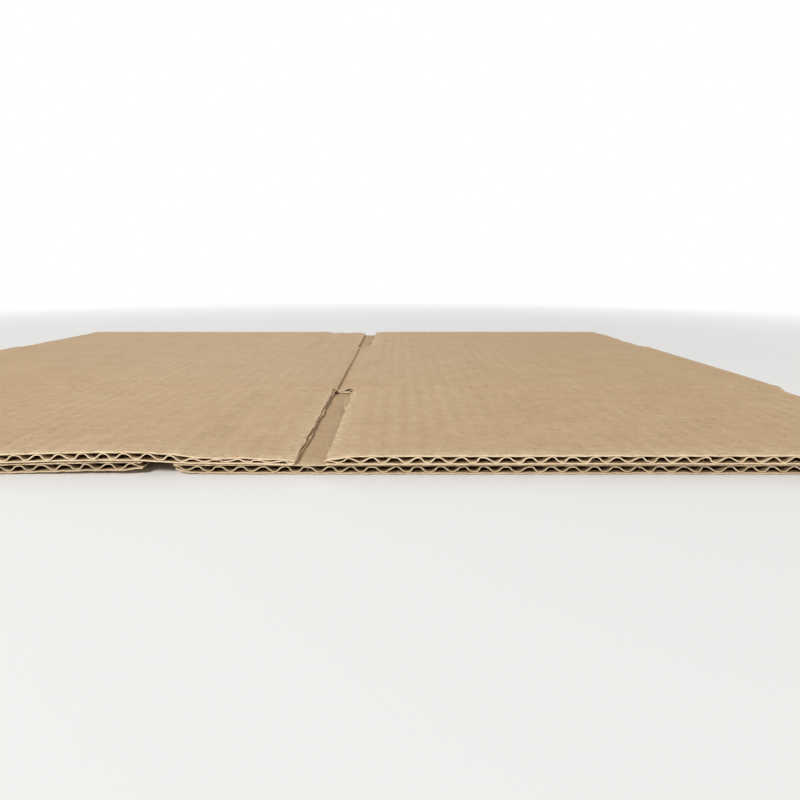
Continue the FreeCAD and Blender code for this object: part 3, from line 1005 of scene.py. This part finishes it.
def medium(name, board, across, edges, crest, crush, behind, worn, seed):
    """The medium of one board. edges are the slot edges that end it in the flaps."""
    x, y = np.meshgrid(across, FLUTE_Y, indexing="ij")
    if board is upper_right_board:
        y = np.where(x < UPPER_SLOT_X, lap_y(x, y), y)
    for number, edge in enumerate(edges):
        x = x + slot_rag(x, y, edge, MEDIUM_SLOT_RAG, seed + number)
    wear = worn * wear_near(x, y, edges, crest)
    y = y + front_rag(x, y, MEDIUM_END_RAG, seed + 5) + set_back(y, behind)
    middle = cell_middles(across)
    in_flap = np.abs(cell_middles(FLUTE_Y)) > SCORE_Y
    outside = (np.abs(middle) > FLAP_SIDE_X) | ((middle > edges[0]) & (middle < edges[1]))
    kept = np.ones((len(middle), len(in_flap)), bool)
    kept[np.ix_(outside, in_flap)] = False
    made = skin(name, np.stack([x, y, 0 * x], -1), kept, wear)
    face, rim = fluted_kraft, cut_kraft
    # The lower layer takes the darker copies of the medium and cut edge paints: painted shade under
    # the upper layer.
    if board is lower_board:
        face, rim = shaded_fluted_kraft, shaded_cut_kraft
    run_tree(made, fluting, {
        "Pitch": PITCH * MM, "Rise": RISE * MM, "Crest": crest * MM, "Drift": DRIFT * MM,
        "Lean": LEAN * MM, "Crush Start": crush[0] * MM, "Crush End": crush[1] * MM,
        "Crush Lean": CRUSHED_LEAN * MM, "Slack": SLACK, "Seed": float(seed), "Material": face,
    })
    press_between_liners(made.data, board)
    return as_paper(made, MEDIUM, face, face, rim)


print("rise of a flute, mm:", round(RISE, 2), "lines along the flutes:", len(FLUTE_Y))

# %% Fluted medium of the three boards
NO_CRUSH = (-900.0, -899.0)


def flute_lines(start, *places):
    """Grid lines from place to place, a thirteenth of a flute apart."""
    return spaced(start, *((place, FLUTE_STEP) for place in places))


lap_lines = spaced(LAP_EDGE, (UPPER_SLOT_X, 3.0))[:-1]
right_lines = flute_lines(UPPER_SLOT_X, SHORT_EDGE, FLAP_SIDE_X, FOLD_START)
media = [
    medium(
        "medium_left", upper_left_board,
        flute_lines(-FOLD_START, -FLAP_SIDE_X, CRUSH_END, JOINT_LEFT),
        edges=(CRUSH_END, FOLD_X), crest=LEFT_CREST, crush=(CRUSH_START, CRUSH_END),
        behind=LEFT_SET_BACK, worn=1.0, seed=110,
    ),
    medium(
        "medium_right", upper_right_board,
        np.concatenate([lap_lines, right_lines]),
        edges=(LAP_EDGE - 9, SHORT_EDGE), crest=RIGHT_CREST,
        crush=(UPPER_SLOT_X, UPPER_SLOT_X + 15), behind=0.0, worn=1.0, seed=120,
    ),
    medium(
        "medium_under", lower_board,
        flute_lines(-FOLD_START, -FLAP_SIDE_X, *LOWER_EDGES, FLAP_SIDE_X, FOLD_START),
        edges=LOWER_EDGES, crest=LOWER_CREST, crush=NO_CRUSH,
        behind=LOWER_SET_BACK, worn=0.5, seed=130,
    ),
]

# %% [markdown]
# ## Crushed medium inside the folds
#
# At the folds the flutes are squashed flat between the liners. Only the ends of the folds show it,
# where the notches between the flaps stop, but there a hollow fold would look like a pipe.

# %% Fold cores
CORE_STEPS = 44
CORE_RIPPLES, CORE_RIPPLE = 13, 0.24
CORE_WEAR = 0.3


def fold_core(side):
    """A crumpled sheet halfway between the liners of one fold."""
    angles = np.linspace(math.pi / 2, -math.pi / 2, CORE_STEPS)
    y_lines = SHEET_Y[np.abs(SHEET_Y) <= SCORE_Y + 0.01][::2]
    angle, y = np.meshgrid(angles, y_lines, indexing="ij")
    out_x, out_z = outer_fold_points(side, angle, y)
    in_x, in_z = inner_fold_points(side, angle, y)
    shift = 0.8 * wobble(y, angle * 20, 60, 140)
    share = 0.5 + CORE_RIPPLE * np.sin(CORE_RIPPLES * angle + shift)
    x, z = in_x + (out_x - in_x) * share, in_z + (out_z - in_z) * share
    kept = np.ones((x.shape[0] - 1, x.shape[1] - 1), bool)
    spots = np.stack([x, y, z], -1)
    made = skin(f"fold_core_{SIDE_NAMES[side]}", spots, kept, 0 * x + CORE_WEAR)
    return as_paper(made, MEDIUM, fluted_kraft, fluted_kraft, cut_kraft)


fold_cores = [fold_core(-1), fold_core(1)]

# %% [markdown]
# ## Loose fibres
#
# A knife tears kraft paper as much as it cuts it, so single fibres stand off every cut edge, most
# of all along the slots. Geometry Nodes strew them: points on the rims of the papers, a short bent
# thread rooted on each, and a last push by a noise so that no two are alike.

# %% Geometry Nodes tree for the fibres
FIBRE_RINGS = 7
FIBRE_SIDES = 4
LEAST_LENGTH = 0.25
PUSH_SCALE = 900.0

fraying = new_tree(
    "GeometryNodeTree", "fraying",
    [
        ("Geometry", GEOMETRY), ("Density", NUMBER), ("Length", NUMBER), ("Thickness", NUMBER),
        ("Bend", NUMBER), ("Seed", WHOLE), ("Material", MATERIAL),
    ],
    [("Geometry", GEOMETRY)],
)
sizes = fraying.nodes.new("NodeGroupInput").outputs
points = add(
    fraying, "GeometryNodeDistributePointsOnFaces", None,
    Mesh=sizes["Geometry"], Density=sizes["Density"], Seed=sizes["Seed"],
).outputs
tip = add(fraying, "ShaderNodeCombineXYZ", None, Z=sizes["Length"]).outputs[0]
thread_line = add(fraying, "GeometryNodeCurvePrimitiveLine", None, End=tip).outputs[0]
thread_steps = add(
    fraying, "GeometryNodeResampleCurve", None, Curve=thread_line, Count=FIBRE_RINGS,
).outputs[0]
ring = add(
    fraying, "GeometryNodeCurvePrimitiveCircle", None,
    Resolution=FIBRE_SIDES, Radius=sizes["Thickness"],
).outputs[0]
tube = add(
    fraying, "GeometryNodeCurveToMesh", None, Curve=thread_steps, n1=ring, Fill_Caps=True,
).outputs[0]
turned = add(
    fraying, "FunctionNodeRandomValue", {"data_type": "FLOAT_VECTOR"},
    n0=(-1.0, -1.0, -3.1), n1=(1.0, 1.0, 3.1), Seed=sizes["Seed"],
).outputs[0]
euler = add(fraying, "FunctionNodeEulerToRotation", None, Euler=turned).outputs[0]
aim = add(
    fraying, "FunctionNodeRotateRotation", {"rotation_space": "LOCAL"},
    n0=points["Rotation"], n1=euler,
).outputs[0]
longer = add(
    fraying, "FunctionNodeRandomValue", {"data_type": "FLOAT"},
    n2=LEAST_LENGTH, n3=1.0, Seed=sizes["Seed"],
).outputs[1]
strewn = add(
    fraying, "GeometryNodeInstanceOnPoints", None,
    Points=points["Points"], Instance=tube, Rotation=aim, Scale=longer,
).outputs[0]
real = add(fraying, "GeometryNodeRealizeInstances", None, Geometry=strewn).outputs[0]
spot = add(fraying, "GeometryNodeInputPosition").outputs[0]
push = add(
    fraying, "ShaderNodeTexNoise", None, Vector=spot, Scale=PUSH_SCALE, Detail=0.0,
).outputs[1]
centred = add(
    fraying, "ShaderNodeVectorMath", {"operation": "SUBTRACT"}, n0=push, n1=(0.5, 0.5, 0.5),
).outputs[0]
pushed = add(
    fraying, "ShaderNodeVectorMath", {"operation": "SCALE"}, n0=centred, Scale=sizes["Bend"],
).outputs[0]
bent = add(fraying, "GeometryNodeSetPosition", None, Geometry=real, Offset=pushed).outputs[0]
painted = add(
    fraying, "GeometryNodeSetMaterial", None, Geometry=bent, Material=sizes["Material"],
).outputs[0]
add(fraying, "NodeGroupOutput", None, Geometry=painted)
print("fraying nodes:", len(fraying.nodes))

# %% Helpers for the cut edges
END_BAND = 4.0
OFF_FLOOR = 0.05
FIBRE_THICKNESS = 0.04


def cut_rims(name, papers, nearest, farthest):
    """The papers' cut edges between two distances from the middle along the flutes, as one mesh."""
    spots, quads, total = [], [], 0
    for paper in papers:
        mesh = paper.data
        paint = np.empty(len(mesh.polygons), np.int32)
        mesh.polygons.foreach_get("material_index", paint)
        rims = [mesh.polygons[int(i)].vertices[:] for i in np.flatnonzero(paint == RIM)]
        corners, places = np.array(rims), spots_of(mesh)
        away = np.abs(places[corners].mean(axis=1)[:, 1]) / MM
        within = corners[(away > nearest) & (away < farthest)]
        used, corners = np.unique(within, return_inverse=True)
        spots.append(places[used])
        quads.append(corners.reshape(-1, 4) + total)
        total += len(used)
    mesh = bpy.data.meshes.new(name)
    mesh.from_pydata(np.concatenate(spots).tolist(), [], np.concatenate(quads).tolist())
    print(name, "grow on", total, "points")
    return new_object(name, mesh)


def fibres_on(rims, density, length, bend, seed):
    """Strews fibres on rims, and lifts what would reach into the floor."""
    made = run_tree(rims, fraying, {
        "Density": density, "Length": length * MM, "Thickness": FIBRE_THICKNESS * MM,
        "Bend": bend * MM, "Seed": seed, "Material": cut_kraft,
    })
    spots = spots_of(made.data)
    spots[:, 2] = np.maximum(spots[:, 2], OFF_FLOOR * MM)
    move_spots(made.data, spots)
    return made


print("ends reach inwards by, mm:", END_BAND)

# %% Fibres on the cut edges
papers = outer_liners + inner_liners + media
slot_rims = cut_rims("slot_fibres", papers, SCORE_Y - 1, END_Y - END_BAND)
slot_fibres = fibres_on(slot_rims, density=260000.0, length=2.0, bend=1.2, seed=5)
end_rims = cut_rims("end_fibres", papers, END_Y - END_BAND, END_Y + END_BAND)
end_fibres = fibres_on(end_rims, density=170000.0, length=1.6, bend=0.9, seed=9)

# %% [markdown]
# ## What the pieces belong to
#
# The box is one body and one solid, so every paper rides on that body and stands for that solid.

# %% Ride on the body and replace the solid
box_pieces = papers + fold_cores + [slot_fibres, end_fibres]
for piece in box_pieces:
    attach(piece, "root")
    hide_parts("flattened_box")
print("pieces:", len(box_pieces))

# %% [markdown]
# ## Floor, backdrop and light
#
# A plain pale floor that fades into a white background, away from the box, for the camera only. One
# soft lamp stands in front at the upper left, high enough that the cut edges catch it while the
# flutes stay dark inside, and two weaker ones fill in.

# %% Floor
FLOOR_REACH = 40.0
FLOOR_Z = -0.0002
FADE_STARTS, FADE_ENDS = 0.24, 0.8

corners = [
    (u * FLOOR_REACH, v * FLOOR_REACH, FLOOR_Z) for u, v in ((-1, -1), (1, -1), (1, 1), (-1, 1))
]
floor_mesh = bpy.data.meshes.new("floor")
floor_mesh.from_pydata(corners, [], [(0, 1, 2, 3)])
floor = new_object("floor", floor_mesh)
floor_paint, tree, shader = new_material("floor_paint", rough=0.9)
shader.inputs["Base Color"].default_value = srgb(238, 237, 235)
place = tree.nodes.new("ShaderNodeTexCoord").outputs["Object"]
distance = add(tree, "ShaderNodeVectorMath", {"operation": "LENGTH"}, n0=place).outputs["Value"]
far = spread(tree, distance, FADE_STARTS, FADE_ENDS)
rays = tree.nodes.new("ShaderNodeLightPath").outputs
seen = times(tree, times(tree, far, far), rays["Is Camera Ray"])
glow = add(tree, "ShaderNodeEmission", None, Color=WHITE, Strength=1.0)
blend = add(
    tree, "ShaderNodeMixShader", None, n0=seen, n1=shader.outputs[0], n2=glow.outputs[0],
)
fill(tree, tree.nodes["Material Output"].inputs["Surface"], blend.outputs[0])
floor_mesh.materials.append(floor_paint)
print("floor fades out between, m:", FADE_STARTS, FADE_ENDS)

# %% Lamps
def soft_lamp(name, place, aim_at, size, power):
    """A square area lamp that looks at a point."""
    lamp = bpy.data.lights.new(name, "AREA")
    lamp.shape = "SQUARE"
    lamp.size = size
    lamp.energy = power
    made = new_object(name, lamp)
    made.location = place
    made.rotation_euler = (Vector(aim_at) - Vector(place)).to_track_quat("-Z", "Y").to_euler()
    return made


soft_lamp("key_lamp", (-0.6, -1.15, 0.98), (0, -0.1, 0), size=0.4, power=19.0)
soft_lamp("fill_lamp", (1.2, 0.1, 0.8), (0, 0, 0), size=1.0, power=5.0)
soft_lamp("back_lamp", (-0.3, 1.2, 0.7), (0, 0, 0), size=1.0, power=5.0)

# %% World
WORLD_LIGHT = 0.24
WORLD_SEEN = 1.0

world = bpy.data.worlds.new("studio")
bpy.context.scene.world = world
world.use_nodes = True
tree = world.node_tree
rays = tree.nodes.new("ShaderNodeLightPath").outputs
seen = math_node(tree, "MAXIMUM", rays["Is Camera Ray"], rays["Is Glossy Ray"])
seen = math_node(tree, "MAXIMUM", seen, rays["Is Transmission Ray"])
sky = tree.nodes["Background"].inputs
sky["Color"].default_value = WHITE
fill(tree, sky["Strength"], spread(tree, seen, 0.0, 1.0, WORLD_LIGHT, WORLD_SEEN))
bpy.context.scene.view_settings.view_transform = "Standard"
print("light from the world:", WORLD_LIGHT)
